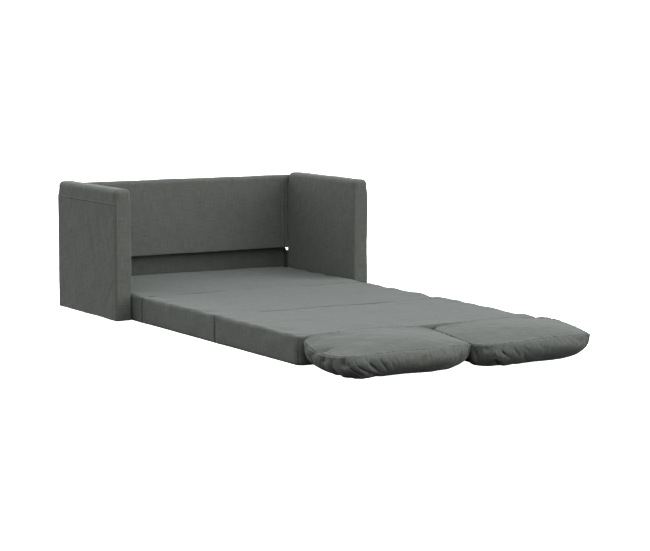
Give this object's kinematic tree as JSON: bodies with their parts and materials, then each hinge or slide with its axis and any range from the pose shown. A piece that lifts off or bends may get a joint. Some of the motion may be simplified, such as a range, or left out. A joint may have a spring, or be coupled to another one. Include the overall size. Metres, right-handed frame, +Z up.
{
  "type": "fold-out sofa bed",
  "caption": "Low floor sofa with straight arms and a padded back; its hinged foam mattress folds in a Z to make the seat or opens into a bed, with loose pillows at its end.",
  "frame": {"origin": "on the floor, at the middle of the whole outline with the bed opened out", "axes": "+X to the sitter's left, which is the right of someone who faces the sofa; +Y to the rear of the sofa; +Z up"},
  "size_m": [1.22, 2.4634, 0.55],
  "materials": {
    "cover_fabric": "matte",
    "lining_fabric": "matte",
    "foam": "matte",
    "pillow_filling": "matte",
    "hardboard": "matte",
    "timber": "matte",
    "stained_timber": "matte",
    "zinc_steel": "satin",
    "glide_plastic": "matte"
  },
  "bodies": {
    "sofa_frame": {"left_arm_cover": "cover_fabric", "left_arm_foam": "foam", "left_arm_inner_board": "hardboard", "left_arm_outer_board": "hardboard", "left_arm_front_post": "timber", "left_arm_rear_post": "timber", "left_arm_top_rail": "timber", "left_arm_base_rail": "timber", "right_arm_cover": "cover_fabric", "right_arm_foam": "foam", "right_arm_inner_board": "hardboard", "right_arm_outer_board": "hardboard", "right_arm_front_post": "timber", "right_arm_rear_post": "timber", "right_arm_top_rail": "timber", "right_arm_base_rail": "timber", "back_panel_cover": "cover_fabric", "back_panel_foam": "foam", "back_front_board": "hardboard", "back_rear_cover": "lining_fabric", "back_left_post": "timber", "back_right_post": "timber", "back_centre_post": "timber", "back_top_rail": "timber", "back_bottom_rail": "timber", "low_board_cover": "lining_fabric", "low_board": "hardboard", "low_base_rail": "timber", "left_low_leg": "stained_timber", "right_low_leg": "stained_timber", "arm_bolts": "zinc_steel", "bolt_washers": "zinc_steel", "threaded_inserts": "zinc_steel", "frame_screws": "zinc_steel", "arm_glides": "glide_plastic", "back_glides": "glide_plastic", "rear_section_cover": "cover_fabric", "rear_section_foam": "foam", "rear_upper_hinge_leaf": "lining_fabric"},
    "middle_section": {"middle_section_cover": "cover_fabric", "middle_section_foam": "foam", "middle_upper_hinge_leaf": "lining_fabric", "middle_lower_hinge_leaf": "lining_fabric"},
    "end_section": {"end_section_cover": "cover_fabric", "end_section_foam": "foam", "end_lower_hinge_leaf": "lining_fabric"},
    "left_pillow": {"left_pillow_cover": "cover_fabric", "left_pillow_fill": "pillow_filling"},
    "right_pillow": {"right_pillow_cover": "cover_fabric", "right_pillow_fill": "pillow_filling"}
  },
  "joints": [
    {"name": "middle_fold", "type": "hinge", "parent": "sofa_frame", "child": "middle_section", "pos_m": [0, 0.48512, 0.1135], "axis": [-1, 0, 0], "range_deg": [0, 180]},
    {"name": "end_fold", "type": "hinge", "parent": "middle_section", "child": "end_section", "pos_m": [0, -0.16488, 0], "axis": [-1, 0, 0], "range_deg": [-180, 0]},
    {"name": "left_pillow_lift", "type": "slide", "parent": "sofa_frame", "child": "left_pillow", "axis": [0, 0, 1], "range_m": [0, 0.3]},
    {"name": "right_pillow_lift", "type": "slide", "parent": "sofa_frame", "child": "right_pillow", "axis": [0, 0, 1], "range_m": [0, 0.3]}
  ],
  "couplings": [
    {"joint": "end_fold", "follows": "middle_fold", "ratio": -1}
  ]
}
